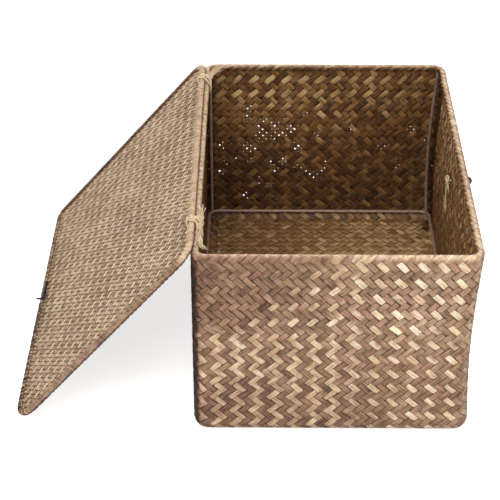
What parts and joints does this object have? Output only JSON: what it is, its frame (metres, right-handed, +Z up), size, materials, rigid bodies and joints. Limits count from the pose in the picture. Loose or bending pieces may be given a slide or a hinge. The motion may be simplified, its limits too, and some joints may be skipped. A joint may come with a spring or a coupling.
{
  "type": "wicker storage basket",
  "caption": "Open rectangular storage basket plaited from flat fibre strips over a wire frame, with a tied hinged lid, a toggle button and a cord loop to close it.",
  "frame": {"origin": "centre of the basket's flat underside, on the floor", "axes": "+X from the hinge side to the toggle side, +Y from the front to the rear, +Z up; the open lid leans to -X"},
  "size_m": [0.4645, 0.402, 0.2113],
  "materials": {
    "plaited_strip": "matt dried seagrass, tan with brown and cream strips",
    "lid_strip": "matt dried seagrass, finely plaited",
    "lid_binding": "matt folded strip, overcast in dark and pale fibre",
    "frame_wire": "dark brown, half gloss",
    "fibre_cord": "twisted plant fibre, matt",
    "dark_wood": "turned and varnished",
    "black_cord": "twisted cord, matt"
  },
  "bodies": {
    "basket": {"basket_shell": "plaited_strip", "frame_top_ring": "frame_wire", "frame_bottom_ring": "frame_wire", "frame_post_front_left": "frame_wire", "frame_post_front_right": "frame_wire", "frame_post_rear_left": "frame_wire", "frame_post_rear_right": "frame_wire", "hinge_tie_rear": "fibre_cord", "hinge_tie_front": "fibre_cord", "toggle_cord": "fibre_cord", "toggle_cord_tail": "fibre_cord"},
    "toggle": {"toggle_button": "dark_wood"},
    "lid": {"lid_mat": "lid_strip", "lid_frame_ring": "frame_wire", "lid_edge_binding": "lid_binding", "closure_staple": "black_cord"},
    "loop": {"closure_loop": "black_cord"}
  },
  "joints": [
    {"name": "lid_hinge", "type": "hinge", "parent": "basket", "child": "lid", "pos_m": [-0.133, 0, 0.2035], "axis": [0, 1, 0], "range_deg": [0, 228.7]},
    {"name": "closure_swing", "type": "hinge", "parent": "lid", "child": "loop", "pos_m": [-0.29804, 0, 0.00371], "axis": [0, 1, 0], "range_deg": [-45, 115]},
    {"name": "toggle_turn", "type": "hinge", "parent": "basket", "child": "toggle", "pos_m": [0.1393, 0.035, 0.145], "axis": [1, 0, 0], "range_deg": [-180, 180]}
  ]
}
